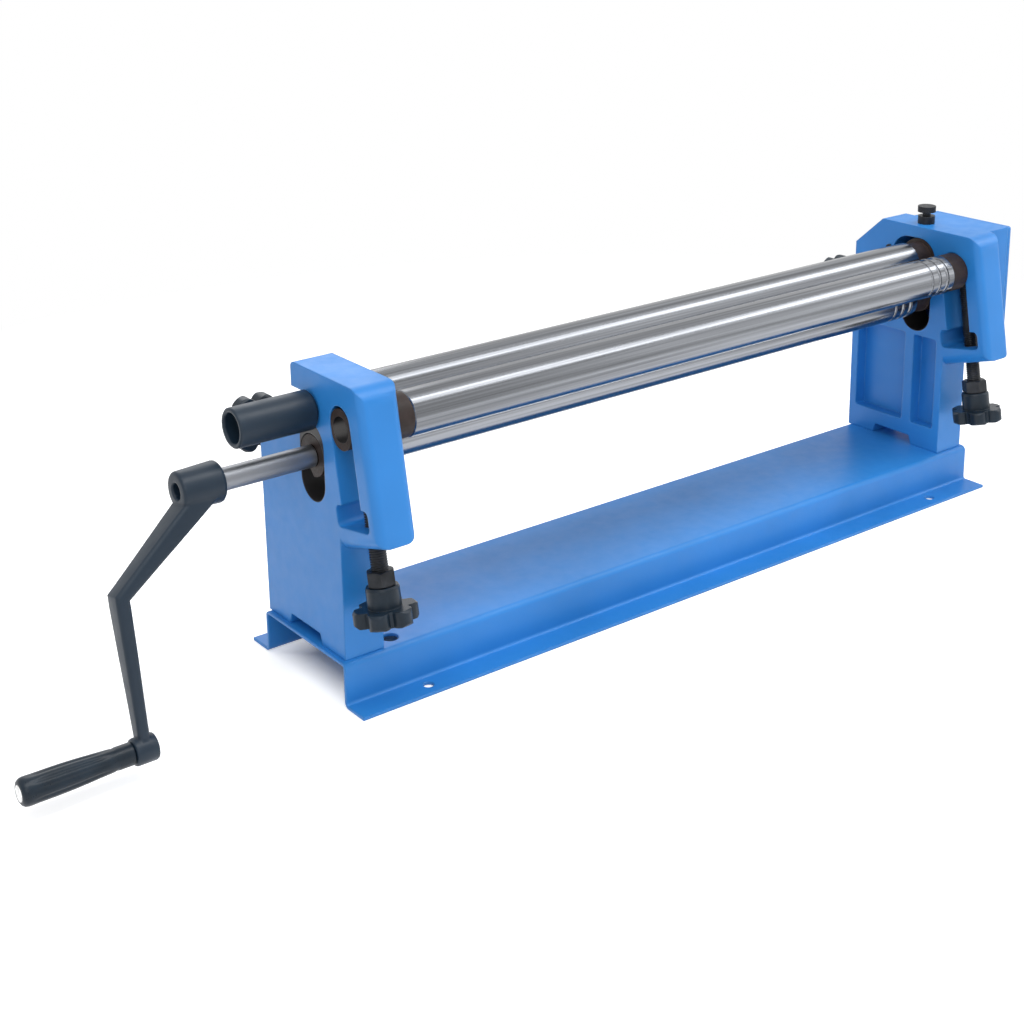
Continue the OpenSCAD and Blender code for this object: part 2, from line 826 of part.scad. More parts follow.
// Bearing block of the lower roll, with its collar and the flat that rides on the wedge pin
module lower_block(side) {
    reach = low_slot_w;
    x0 = side > 0 ? frame_in - face_gap : -block_out;
    x1 = side > 0 ? block_out : -frame_in + face_gap;
    color("saddlebrown")
        difference() {
            union() {
                difference() {
                    rod_x(x0, x1, low_axis, 2 * low_block_r);
                    along_x(x0 - over, x1 + over)
                        translate(low_axis)
                            rotate(-45)
                                translate([wedge_flat, -reach])
                                    square([reach, 2 * reach]);
                }
                rod_x(side > 0 ? collar_in : x1, side > 0 ? x0 : -collar_in, low_axis, low_collar_d);
            }
            rod_x(side > 0 ? collar_in - over : x0 - over, side > 0 ? x1 + over : over - collar_in,
                low_axis, shaft_d + 2 * run_fit);
        }
}

module lower_block_left() {
    lower_block(-1);
}

module lower_block_right() {
    lower_block(1);
}

module top_block_left() {
    color("saddlebrown")
        difference() {
            rod_x(-block_out, -collar_in, top_axis, slip_block_d);
            rod_x(-block_out - over, over - collar_in, top_axis, slip_journal_d + 2 * run_fit);
        }
}

module top_block_right() {
    color("saddlebrown")
        difference() {
            union() {
                rod_x(frame_in - face_gap, block_out, top_axis, right_block_d);
                rod_x(collar_in, frame_in, top_axis, right_collar_d);
            }
            rod_x(collar_in - over, block_out + over, top_axis, right_journal_d + 2 * run_fit);
        }
}

// Involute gear outline about its middle, with a tooth at the angle turn
gear_base_r = gear_r * cos(pressure);
gear_tip_r = gear_r + gear_add_share * gear_m;
gear_root_r = gear_r - gear_ded_share * gear_m;
function roll_out(r) = tan(acos(gear_base_r / r)) * 180 / PI - acos(gear_base_r / r);
tooth_half = 90 / gear_teeth - gear_thin / 2 / gear_r * 180 / PI + roll_out(gear_r);
function flank(mid, side) = [for (i = [0:flank_steps])
    let (r = gear_base_r + (gear_tip_r - gear_base_r) * (side < 0 ? i : flank_steps - i) / flank_steps,
         a = mid + side * (tooth_half - roll_out(r)))
    r * [cos(a), sin(a)]];
function tooth(mid) = concat(
    [gear_root_r * [cos(mid - tooth_half), sin(mid - tooth_half)]],
    flank(mid, -1), flank(mid, 1),
    [gear_root_r * [cos(mid + tooth_half), sin(mid + tooth_half)]]
);

module gear(axis, turn) {
    color("slategray")
        difference() {
            union() {
                along_x(gear_mid - gear_w / 2, gear_mid + gear_w / 2)
                    translate(axis)
                        polygon([for (i = [0:gear_teeth - 1])
                            each tooth(turn + i * 360 / gear_teeth)]);
                rod_x(block_out + face_gap, gear_mid, axis, right_journal_d);
            }
            rod_x(block_out, gear_mid + gear_w, axis, gear_seat_d + 2 * run_fit);
            key_space(axis, run_fit);
        }
}

module top_gear() {
    gear(top_axis, -90 + 180 / gear_teeth);
}

module lower_gear() {
    gear(low_axis, 90);
}

module top_gear_key() {
    color("dimgray")
        key_space(top_axis, 0);
}

module lower_gear_key() {
    color("dimgray")
        key_space(low_axis, 0);
}

// Open spring clip that keeps a gear on its seat
module gear_clip(axis) {
    color("dimgray")
        difference() {
            rod_x(clip_x, clip_x + clip_t, axis, gear_seat_d + 2 * clip_out, small_fn);
            rod_x(clip_x - over, clip_x + clip_t + over, axis,
                gear_seat_d - 2 * clip_deep + 2 * run_fit, small_fn);
            translate([clip_x - over, axis[0], axis[1] - key_w / 2])
                cube([clip_t + 2 * over, gear_seat_d, key_w]);
        }
}

module top_gear_clip() {
    gear_clip(top_axis);
}

module lower_gear_clip() {
    gear_clip(low_axis);
}

// Sleeve by which the top roll's left end is drawn out of its slot
module roll_sleeve() {
    r = sleeve_d / 2;
    end = sleeve_x - sleeve_l;
    floor_x = end + sleeve_hollow_l;
    journal = slip_journal_d / 2 + run_fit;
    color("darkslategray")
        turned_x([
            [journal, sleeve_x], [r - sleeve_chamfer, sleeve_x], [r, sleeve_x - sleeve_chamfer],
            [r, end + sleeve_chamfer], [r - sleeve_chamfer, end],
            [sleeve_hollow_d / 2 + sleeve_chamfer, end], [sleeve_hollow_d / 2, end + sleeve_chamfer],
            [sleeve_hollow_d / 2, floor_x], [journal, floor_x]
        ], top_axis);
}

// Places children about the shaft with -Z along the crank
module at_crank() {
    translate([0, low_axis[0], low_axis[1]])
        rotate([-crank_angle, 0, 0])
            children();
}

// Corner of a bent bar, half its thickness to one side of the bend
function miter(point, in, out, half) =
    let (a = [-in[1], in[0]], b = [-out[1], out[0]])
    point + half * (a + b) / (1 + a * b);

// Side outline of the crank's bar, as x and height
bar_root_share = 0.75;
module bar_side() {
    root = [hub_out_x + bar_root_share * hub_l, 0];
    elbow = [elbow_x, -elbow_r];
    foot = [elbow_x, -crank_r];
    in = (elbow - root) / norm(elbow - root);
    out = [0, -1];
    side = [-in[1], in[0]];
    polygon([
        root + side * bar_t / 2, miter(elbow, in, out, bar_t / 2), foot + [bar_end_t / 2, 0],
        foot - [bar_end_t / 2, 0], miter(elbow, in, out, -bar_t / 2), root - side * bar_t / 2
    ]);
}

// Places children at the middle of the hub, with +Z to the back
module behind_hub() {
    translate([hub_x - hub_l / 2, low_axis[0], low_axis[1]])
        rotate([-90, 0, 0])
            children();
}

module crank_arm() {
    r = hub_d / 2;
    r_end = hub_end_d / 2;
    color("darkslategray")
        difference() {
            union() {
                turned_x([
                    [0, hub_x], [r - hub_chamfer, hub_x], [r, hub_x - hub_chamfer],
                    [r_end, hub_out_x + hub_chamfer], [r_end - hub_chamfer, hub_out_x], [0, hub_out_x]
                ], low_axis);
                at_crank()
                    intersection() {
                        rotate([90, 0, 0])
                            linear_extrude(bar_hub_w, center = true)
                                bar_side();
                        translate([elbow_x - bar_hub_w, 0, 0])
                            rotate([90, 0, 90])
                                linear_extrude(hub_x - elbow_x + 2 * bar_hub_w)
                                    polygon([[-bar_hub_w / 2, 0], [bar_hub_w / 2, 0],
                                             [bar_end_w / 2, -crank_r], [-bar_end_w / 2, -crank_r]]);
                    }
                at_crank()
                    rod_x(elbow_x - boss_l / 2, elbow_x + boss_l / 2, [0, -crank_r], boss_d);
            }
            rod_x(hub_out_x + shaft_short, hub_x + over, low_axis, shaft_d + 2 * run_fit);
            rod_x(hub_out_x - over, hub_out_x + shaft_short + over, low_axis, hub_hole_d);
            at_crank()
                rod_x(elbow_x - boss_l, elbow_x + boss_l, [0, -crank_r],
                    grip_bolt_d + 2 * run_fit, small_fn);
            behind_hub()
                cylinder(h = hub_d, d = set_screw_d + 2 * run_fit, $fn = small_fn);
        }
}

module crank_set_screw() {
    color("dimgray")
        behind_hub()
            translate([0, 0, shaft_d / 2 + run_fit])
                cylinder(h = set_screw_l, d = set_screw_d, $fn = small_fn);
}

grip_swell_share = 0.6;
module crank_grip() {
    near = grip_d / 2;
    far = grip_big_d / 2;
    end = grip_x - grip_l;
    bore = grip_bolt_d / 2 + run_fit;
    head = grip_head_d / 2 + face_gap;
    seat = end + grip_head_t + face_gap;
    round_in = far - head - over / 2;
    color("darkslategray")
        at_crank()
            turned_x(concat(
                [[bore, grip_x], [near - over, grip_x], [near, grip_x - over]],
                [for (s = [0.2:0.2:1]) [near + (far - near) * sin(90 * s),
                    grip_x - over - s * grip_swell_share * grip_l]],
                [for (a = [0:15:90]) [far - round_in + round_in * cos(a), end + round_in - round_in * sin(a)]],
                [[head, end], [head, seat], [bore, seat]]
            ), [0, -crank_r]);
}

module grip_bolt() {
    end = grip_x - grip_l;
    color("silver")
        at_crank() {
            rod_x(end, end + grip_head_t, [0, -crank_r], grip_head_d, small_fn);
            rod_x(end, elbow_x + boss_l / 2, [0, -crank_r], grip_bolt_d, small_fn);
        }
}

// A knob with +Z outwards: hub, then lobes, with a blind bore for its screw
lobe_r_share = 0.32;
core_share = 0.73;
rim_chamfer = 2;
knob_grip = 8;
module knob(turn) {
    r = knob_d / 2;
    lobe_r = lobe_r_share * r;
    step = 360 / knob_lobes;
    color("darkslategray")
        difference() {
            union() {
                cylinder(h = rim_chamfer, d1 = knob_hub_d - rim_chamfer, d2 = knob_hub_d, $fn = small_fn);
                translate([0, 0, rim_chamfer])
                    cylinder(h = knob_hub_h, d = knob_hub_d, $fn = small_fn);
                intersection() {
                    translate([0, 0, knob_hub_h])
                        linear_extrude(knob_t) {
                            circle(r = core_share * r, $fn = small_fn);
                            for (i = [0:knob_lobes - 1])
                                rotate(turn + i * step)
                                    translate([r - lobe_r, 0])
                                        circle(r = lobe_r, $fn = small_fn);
                        }
                    rotate_extrude($fn = small_fn)
                        polygon([
                            [0, knob_hub_h], [r - rim_chamfer, knob_hub_h], [r, knob_hub_h + rim_chamfer],
                            [r, knob_hub_h + knob_t - rim_chamfer], [r - rim_chamfer, knob_hub_h + knob_t],
                            [0, knob_hub_h + knob_t]
                        ]);
                }
            }
            translate([0, 0, -over])
                cylinder(h = knob_hub_h + knob_grip + over, d = screw_d + 2 * run_fit, $fn = small_fn);
        }
}

// Hexagon nut with bevelled corners, standing on the face at z = 0
nut_face_share = 0.95;
module hex_nut() {
    face_r = nut_face_share * nut_w / 2;
    wide_r = nut_w;
    bevel = (wide_r - face_r) * tan(30);
    color("dimgray")
        difference() {
            intersection() {
                cylinder(h = nut_h, d = nut_w / cos(30), $fn = 6);
                rotate_extrude($fn = small_fn)
                    polygon([
                        [0, 0], [face_r, 0], [wide_r, bevel], [wide_r, nut_h - bevel],
                        [face_r, nut_h], [0, nut_h]
                    ]);
            }
            translate([0, 0, -over])
                cylinder(h = nut_h + 2 * over, d = screw_d + 2 * run_fit, $fn = small_fn);
        }
}

// Places children under an arm with +Z down the front screw, from the nut's top
module under_arm(x) {
    on_front_line(x, arm_under_up - front_gap)
        rotate([180, 0, 0])
            children();
}

// Places children behind a frame with +Z out along the rear screw, from the nut's face
module behind_frame(x) {
    on_rear_line(x, leg_back + rear_gap)
        children();
}

front_knob_turn = 19;
rear_knob_turn = 0;
screw_past = nut_h + knob_hub_h + knob_grip - face_gap;

module front_screw(x) {
    top = -block_h / 2 - face_gap;
    low = arm_under_up - front_gap - screw_past;
    color("dimgray")
        on_front_line(x, low)
            cylinder(h = top - low, d = screw_d, $fn = small_fn);
}

module rear_screw(x) {
    color("dimgray")
        on_rear_line(x, pin_end + run_fit)
            cylinder(h = leg_back + rear_gap + screw_past - pin_end - run_fit, d = screw_d, $fn = small_fn);
}

module wedge_pin(x) {
    reach = low_slot_w;
    front = nose_y - screw_d;
    color("dimgray")
        difference() {
            on_rear_line(x, front)
                cylinder(h = pin_end - front, d = screw_d, $fn = small_fn);
            along_x(x - screw_d, x + screw_d)
                translate(low_axis)
                    rotate(-45)
                        translate([-2 * reach, -2 * reach])
                            square([2 * reach + wedge_flat + run_fit, 4 * reach]);
        }
}

module front_screw_left() {
    front_screw(-frame_mid);
}

module front_nut_left() {
    under_arm(-frame_mid)
        hex_nut();
}

module front_knob_left() {
    under_arm(-frame_mid)
        translate([0, 0, nut_h])
            knob(front_knob_turn);
}

module front_screw_right() {
    front_screw(frame_mid);
}

module front_nut_right() {
    under_arm(frame_mid)
        hex_nut();
}

module front_knob_right() {
    under_arm(frame_mid)
        translate([0, 0, nut_h])
            knob(front_knob_turn);
}

module wedge_pin_left() {
    wedge_pin(-frame_mid);
}

module rear_screw_left() {
    rear_screw(-frame_mid);
}

module rear_nut_left() {
    behind_frame(-frame_mid)
        hex_nut();
}

module rear_knob_left() {
    behind_frame(-frame_mid)
        translate([0, 0, nut_h])
            knob(rear_knob_turn);
}

module wedge_pin_right() {
    wedge_pin(frame_mid);
}

module rear_screw_right() {
    rear_screw(frame_mid);
}

module rear_nut_right() {
    behind_frame(frame_mid)
        hex_nut();
}

module rear_knob_right() {
    behind_frame(frame_mid)
        translate([0, 0, nut_h])
            knob(rear_knob_turn);
}

// Lock screw over the top roll's right block, with its pad and nut
lock_pad_z = top_axis[1] + right_open_r + run_fit;
module lock_line(z) {
    translate([frame_mid, top_axis[0] + lock_y, z])
        children();
}

module lock_pad() {
    color("goldenrod")
        lock_line(lock_pad_z)
            cylinder(h = lock_pad_t, d = lock_d, $fn = small_fn);
}

module lock_screw() {
    low = lock_pad_z + lock_pad_t + run_fit;
    head_z = frame_top + lock_nut_h + lock_neck;
    color("dimgray")
        difference() {
            union() {
                lock_line(low)
                    cylinder(h = head_z - low + over, d = lock_d, $fn = small_fn);
                lock_line(head_z)
                    cylinder(h = lock_head_t, d = lock_head_d, $fn = small_fn);
            }
            for (i = [0:knurl_grooves - 1])
                lock_line(head_z - over)
                    rotate(i * 360 / knurl_grooves)
                        translate([lock_head_d / 2 + knurl_r / 2, 0, 0])
                            cylinder(h = lock_head_t + 2 * over, r = knurl_r, $fn = 16);
        }
}

module lock_nut() {
    color("dimgray")
        difference() {
            lock_line(frame_top)
                cylinder(h = lock_nut_h, d = lock_nut_d, $fn = small_fn);
            lock_line(frame_top - over)
                cylinder(h = lock_nut_h + 2 * over, d = lock_d + 2 * run_fit, $fn = small_fn);
        }
}

base_plate();
left_frame();
right_frame();
foot_bolts();
foot_washers();
gear_cover();
cover_screws();
side_screw();
top_roll();
lower_roll();
bending_roll();
top_block_left();
top_block_right();
lower_block_left();
lower_block_right();
bending_block_left();
bending_block_right();
top_gear();
lower_gear();
top_gear_key();
lower_gear_key();
top_gear_clip();
lower_gear_clip();
roll_sleeve();
crank_arm();
crank_set_screw();
crank_grip();
grip_bolt();
front_screw_left();
front_nut_left();
front_knob_left();
front_screw_right();
front_nut_right();
front_knob_right();
wedge_pin_left();
rear_screw_left();
rear_nut_left();
rear_knob_left();
wedge_pin_right();
rear_screw_right();
rear_nut_right();
rear_knob_right();
lock_screw();
lock_nut();
lock_pad();
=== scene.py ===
"""Looks of the bench slip roll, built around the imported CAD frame. Lengths are in metres."""
import json
import math

import bmesh
import bpy
from mathutils import Matrix, Vector


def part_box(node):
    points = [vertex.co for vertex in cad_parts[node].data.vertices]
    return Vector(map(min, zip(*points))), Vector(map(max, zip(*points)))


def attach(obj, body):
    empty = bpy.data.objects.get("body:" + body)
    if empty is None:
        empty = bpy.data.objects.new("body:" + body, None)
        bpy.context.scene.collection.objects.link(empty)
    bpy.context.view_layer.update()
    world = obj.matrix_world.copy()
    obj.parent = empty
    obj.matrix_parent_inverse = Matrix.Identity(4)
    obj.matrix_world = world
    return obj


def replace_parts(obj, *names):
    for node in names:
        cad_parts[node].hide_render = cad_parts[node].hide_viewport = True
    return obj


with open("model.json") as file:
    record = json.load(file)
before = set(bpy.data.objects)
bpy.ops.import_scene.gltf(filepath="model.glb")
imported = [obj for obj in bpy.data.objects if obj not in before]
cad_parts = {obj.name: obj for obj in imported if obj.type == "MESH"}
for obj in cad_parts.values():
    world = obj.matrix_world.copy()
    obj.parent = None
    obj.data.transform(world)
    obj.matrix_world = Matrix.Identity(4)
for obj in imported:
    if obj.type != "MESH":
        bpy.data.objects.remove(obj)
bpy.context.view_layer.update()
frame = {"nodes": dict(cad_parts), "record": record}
NODES = frame["nodes"]
SLOT_OF = {s["node"]: s["material_slot"] for s in frame["record"]["subparts"]}

# Camera, fitted to the photograph: place, angles in degrees, and focal length in image widths
CAMERA_AT = (-1.00749, -1.11595, 0.68272)
CAMERA_YAW = 37.122
CAMERA_PITCH = 15.947
CAMERA_ROLL = -0.822
FOCAL = 1716.62 / 1024
SHIFT_Y = -0.207
SENSOR = 36.0
CAMERA_CLIP = (0.01, 50.0)
# Glow that lifts the lit floor to white, and the distances over which it turns plain white
FLOOR_GLOW = 0.45
FLOOR_FADE = (0.55, 1.15)
# Half sizes of the floor that the base covers, which doesn't glow and so shows a painted shadow,
# and the soft edge of that patch
SHADOW_UNDER_BASE = (0.380, 0.0625)
SHADOW_UNDER_FADE = 0.03
# Half size of the floor, and how far it lies below the base so that the two don't meet
FLOOR_HALF = 6.0
FLOOR_DROP = 0.0004
# The sky's light on the object; the camera and reflections meet plain white instead
SKY_COLOUR = (0.97, 0.98, 1, 1)
SKY_STRENGTH = 0.65
# Lamps as (name, place, target, length, width, watts); the overhead one is a strip along X
CENTRE = (0.0, 0.0, 0.15)
LAMPS = (
    ("overhead", (1.0, -0.60, 1.80), (1.0, 0.0, 0.15), 5.0, 0.60, 45),
    ("key", (-1.5, -1.7, 1.3), CENTRE, 1.4, 1.4, 8),
    ("fill", (1.9, -1.3, 1.0), CENTRE, 1.6, 1.6, 6),
    ("back", (0.4, 2.0, 1.6), CENTRE, 1.4, 1.4, 11),
)
# Radii in metres by which the finishes round an edge, and the reach of the paint's wear
PAINT_EDGE = 0.0020
STEEL_EDGE = 0.0004
IRON_EDGE = 0.0005
PLASTIC_EDGE = 0.0010
WEAR_EDGE = 0.0012
# The slots that the rolls lie in, whose walls get near-black painted shade: which frames, then y, z
# low, z high and radius of the outline
SHADED_SLOTS = (
    ("both", -0.0205, 0.1801, 0.2100, 0.0180),
    ("right", -0.0205, 0.2100, 0.2388, 0.0212),
)
# Near-black painted shade on those slot walls
SLOT_SHADE_TONE = (0.020, 0.019, 0.020)
# The frames stand further from the middle than this
BORES_FROM = 0.3
# Painted shade on the journals inside the bearing blocks, nearly black, and the distances from the
# middle that they span
JOURNAL_SHADE_TONE = (0.022, 0.020, 0.019)
JOURNALS = (0.3203, 0.3765)
# The crank shaft beyond them is turned, not ground: a lighter tone and a duller surface
SHAFT_TONE = (0.26, 0.27, 0.29)
SHAFT_DULL = 0.22
# Thin stains on the rolls, and the height of their grinding marks
STAIN_TONE = (0.20, 0.19, 0.18)
RING_RELIEF = 0.000004
# Grains a metre in cast or blackened iron, and their height
IRON_GRAIN = 520.0
IRON_RELIEF = 0.0001
# Spark texture of moulded plastic: sparks a metre, and their height
SPARKS = 1500.0
SPARK_RELIEF = 0.00004


# Materials
def new_material(name):
    """A new node material: (material, nodes, link function, Principled shader)."""
    mat = bpy.data.materials.new(name)
    mat.use_nodes = True
    tree = mat.node_tree
    tree.nodes.clear()
    out = tree.nodes.new("ShaderNodeOutputMaterial")
    shader = tree.nodes.new("ShaderNodeBsdfPrincipled")
    tree.links.new(shader.outputs["BSDF"], out.inputs["Surface"])
    return mat, tree.nodes, tree.links.new, shader


def scaled_coords(nodes, link, scale=(1, 1, 1)):
    """Object coordinates in metres, scaled along each axis."""
    coord = nodes.new("ShaderNodeTexCoord")
    mapping = nodes.new("ShaderNodeMapping")
    mapping.inputs["Scale"].default_value = scale
    link(coord.outputs["Object"], mapping.inputs["Vector"])
    return mapping.outputs["Vector"]


def object_xyz(nodes, link):
    """The three object coordinates in metres as separate sockets."""
    coord = nodes.new("ShaderNodeTexCoord")
    split = nodes.new("ShaderNodeSeparateXYZ")
    link(coord.outputs["Object"], split.inputs[0])
    return split.outputs


def noise(nodes, link, vector, scale, detail=4.0, rough=0.5):
    """Noise value at a scale in features per metre of the given coordinates."""
    node = nodes.new("ShaderNodeTexNoise")
    node.inputs["Scale"].default_value = scale
    node.inputs["Detail"].default_value = detail
    node.inputs["Roughness"].default_value = rough
    link(vector, node.inputs["Vector"])
    return node.outputs["Fac"]


def ramp(nodes, link, value, low, high, low_to=0.0, high_to=1.0):
    """Maps value from low..high to low_to..high_to, clamped."""
    node = nodes.new("ShaderNodeMapRange")
    node.inputs["From Min"].default_value = low
    node.inputs["From Max"].default_value = high
    node.inputs["To Min"].default_value = low_to
    node.inputs["To Max"].default_value = high_to
    link(value, node.inputs["Value"])
    return node.outputs["Result"]


def maths(nodes, link, kind, first, second):
    """One Math node; either input may be a number or a socket."""
    node = nodes.new("ShaderNodeMath")
    node.operation = kind
    for index, value in enumerate((first, second)):
        if isinstance(value, (int, float)):
            node.inputs[index].default_value = value
        else:
            link(value, node.inputs[index])
    return node.outputs[0]


def mix_colour(nodes, link, fac, dark, light):
    """Colour between dark and light; either may be a tuple or a socket."""
    node = nodes.new("ShaderNodeMix")
    node.data_type = "RGBA"
    link(fac, node.inputs["Factor"])
    for socket, value in (("A", dark), ("B", light)):
        target = next(i for i in node.inputs if i.name == socket and i.type == "RGBA")
        if isinstance(value, tuple):
            target.default_value = (*value, 1.0)
        else:
            link(value, target)
    return next(o for o in node.outputs if o.type == "RGBA")


def bump(nodes, link, height, distance, strength=1.0, normal=None):
    """Normal from a height; distance is the relief in metres."""
    node = nodes.new("ShaderNodeBump")
    node.inputs["Distance"].default_value = distance
    node.inputs["Strength"].default_value = strength
    link(height, node.inputs["Height"])
    if normal is not None:
        link(normal, node.inputs["Normal"])
    return node.outputs["Normal"]


def soft_edge(nodes, radius):
    """Normal that rounds sharp edges by radius in metres."""
    node = nodes.new("ShaderNodeBevel")
    node.samples = 6
    node.inputs["Radius"].default_value = radius
    return node.outputs["Normal"]


def edge_mask(nodes, link, radius, reach):
    """1 on sharp edges and 0 away from them, from how far a rounded normal turns."""
    rounded = soft_edge(nodes, radius)
    geometry = nodes.new("ShaderNodeNewGeometry")
    dot = nodes.new("ShaderNodeVectorMath")
    dot.operation = "DOT_PRODUCT"
    link(rounded, dot.inputs[0])
    link(geometry.outputs["Normal"], dot.inputs[1])
    return ramp(nodes, link, dot.outputs["Value"], 1.0, 1.0 - reach)


def slot_shade_mask(nodes, link):
    """1 on the walls of the roll slots in the frames, which get painted shade, 0 elsewhere."""
    x, y, z = object_xyz(nodes, link)
    total = 0.0
    for which, mid_y, low, high, radius in SHADED_SLOTS:
        nearest = maths(nodes, link, "MINIMUM", maths(nodes, link, "MAXIMUM", z, low), high)
        up = maths(nodes, link, "SUBTRACT", z, nearest)
        across = maths(nodes, link, "SUBTRACT", y, mid_y)
        up_2 = maths(nodes, link, "MULTIPLY", up, up)
        across_2 = maths(nodes, link, "MULTIPLY", across, across)
        away = maths(nodes, link, "SQRT", maths(nodes, link, "ADD", up_2, across_2), 0.0)
        inside = maths(nodes, link, "LESS_THAN", away, radius)
        beyond = maths(nodes, link, "ABSOLUTE", x, 0.0) if which == "both" else x
        at_frame = maths(nodes, link, "GREATER_THAN", beyond, BORES_FROM)
        inside = maths(nodes, link, "MULTIPLY", inside, at_frame)
        total = maths(nodes, link, "MAXIMUM", inside, total)
    return total


def paint_material(name, colour, rough, relief, worn, wear, shine, shade_slots=False):
    """Enamel on cast or bent metal: orange peel, faint mottling, edges rubbed lighter."""
    mat, nodes, link, shader = new_material(name)
    vector = scaled_coords(nodes, link)
    broad = noise(nodes, link, vector, 9.0, 3.0)
    fine = noise(nodes, link, vector, 420.0, 2.0)
    cast = noise(nodes, link, vector, 90.0, 4.0)
    dark = tuple(c * 0.90 for c in colour)
    light = tuple(min(1.0, c * 1.08 + 0.003) for c in colour)
    base = mix_colour(nodes, link, ramp(nodes, link, broad, 0.3, 0.7), dark, light)
    edge = edge_mask(nodes, link, WEAR_EDGE, 0.30)
    chipped = maths(nodes, link, "MULTIPLY", edge, ramp(nodes, link, cast, 0.52, 0.66, 0.0, wear))
    painted = mix_colour(nodes, link, chipped, base, worn)
    # Painted shade: the walls of the roll slots turn near-black
    if shade_slots:
        painted = mix_colour(nodes, link, slot_shade_mask(nodes, link), painted, SLOT_SHADE_TONE)
    link(painted, shader.inputs["Base Color"])
    gloss = ramp(nodes, link, cast, 0.25, 0.75, rough - 0.06, rough + 0.07)
    link(gloss, shader.inputs["Roughness"])
    normal = bump(nodes, link, cast, relief, 0.5, soft_edge(nodes, PAINT_EDGE))
    link(bump(nodes, link, fine, relief * 0.25, 0.6, normal), shader.inputs["Normal"])
    shader.inputs["Specular IOR Level"].default_value = shine
    return mat


def ground_steel_material(name, colour, journals=None):
    """Steel ground round its axis: very fine rings, lengthwise streaks that are part wear and part
    painted reflection, thin stains.
    """
    mat, nodes, link, shader = new_material(name)
    rings = noise(nodes, link, scaled_coords(nodes, link, (5200, 40, 40)), 1.0, 4.0, 0.6)
    # Lighter and darker lengthwise streaks: part wear, part painted reflection bands
    wear_and_reflection_streaks = noise(nodes, link, scaled_coords(nodes, link, (1.6, 240, 240)), 1.0, 3.0, 0.6)
    stains = noise(nodes, link, scaled_coords(nodes, link, (30, 60, 60)), 1.0, 6.0, 0.65)
    dark = tuple(c * 0.66 for c in colour)
    light = tuple(min(1.0, c * 1.26) for c in colour)
    base = mix_colour(nodes, link, ramp(nodes, link, wear_and_reflection_streaks, 0.34, 0.62), dark, light)
    stained = ramp(nodes, link, stains, 0.58, 0.75, 0.0, 0.18)
    tone = mix_colour(nodes, link, stained, base, STAIN_TONE)
    rough = ramp(nodes, link, rings, 0.25, 0.75, 0.17, 0.25)
    if journals is not None:
        away = maths(nodes, link, "ABSOLUTE", object_xyz(nodes, link)[0], 0.0)
        inner = maths(nodes, link, "GREATER_THAN", away, journals[0])
        outer = maths(nodes, link, "LESS_THAN", away, journals[1])
        shaft = maths(nodes, link, "GREATER_THAN", away, journals[1])
        in_block = maths(nodes, link, "MULTIPLY", inner, outer)
        # Painted shade: the journals inside the bearing blocks turn nearly black
        tone = mix_colour(nodes, link, in_block, tone, JOURNAL_SHADE_TONE)
        tone = mix_colour(nodes, link, shaft, tone, SHAFT_TONE)
        rough = maths(nodes, link, "ADD", rough, maths(nodes, link, "MULTIPLY", shaft, SHAFT_DULL))
    link(tone, shader.inputs["Base Color"])
    shader.inputs["Metallic"].default_value = 1.0
    link(rough, shader.inputs["Roughness"])
    normal = soft_edge(nodes, STEEL_EDGE)
    link(bump(nodes, link, rings, RING_RELIEF, 0.6, normal), shader.inputs["Normal"])
    return mat


def iron_material(name, colour, rough, metallic):
    """Cast or blackened iron: small grain, uneven tone, edges rubbed bright."""
    mat, nodes, link, shader = new_material(name)
    vector = scaled_coords(nodes, link)
    grains = noise(nodes, link, vector, IRON_GRAIN, 4.0, 0.6)
    tone = noise(nodes, link, vector, 70.0, 4.0)
    dark = tuple(c * 0.6 for c in colour)
    light = tuple(min(1.0, c * 1.5 + 0.006) for c in colour)
    base = mix_colour(nodes, link, ramp(nodes, link, tone, 0.3, 0.7), dark, light)
    edge = edge_mask(nodes, link, IRON_EDGE, 0.4)
    rubbed = maths(nodes, link, "MULTIPLY", edge, ramp(nodes, link, grains, 0.35, 0.7, 0.1, 0.6))
    bright = tuple(min(1.0, c * 2.0 + 0.10) for c in colour)
    link(mix_colour(nodes, link, rubbed, base, bright), shader.inputs["Base Color"])
    shader.inputs["Metallic"].default_value = metallic
    shader.inputs["Specular IOR Level"].default_value = 0.25
    link(ramp(nodes, link, grains, 0.3, 0.7, rough - 0.08, rough + 0.1), shader.inputs["Roughness"])
    normal = soft_edge(nodes, IRON_EDGE)
    link(bump(nodes, link, grains, IRON_RELIEF, 0.5, normal), shader.inputs["Normal"])
    return mat


def plastic_material(name, colour, rough):
    """Moulded black plastic: fine spark texture and a faint sheen along edges."""
    mat, nodes, link, shader = new_material(name)
    vector = scaled_coords(nodes, link)
    spark = noise(nodes, link, vector, SPARKS, 2.0)
    tone = noise(nodes, link, vector, 55.0, 3.0)
    dark = tuple(c * 0.75 for c in colour)
    light = tuple(c * 1.3 + 0.001 for c in colour)
    link(mix_colour(nodes, link, ramp(nodes, link, tone, 0.3, 0.7), dark, light),
         shader.inputs["Base Color"])
    link(ramp(nodes, link, spark, 0.3, 0.7, rough - 0.07, rough + 0.08), shader.inputs["Roughness"])
    normal = soft_edge(nodes, PLASTIC_EDGE)
    link(bump(nodes, link, spark, SPARK_RELIEF, 0.5, normal), shader.inputs["Normal"])
    shader.inputs["Specular IOR Level"].default_value = 0.28
    return mat


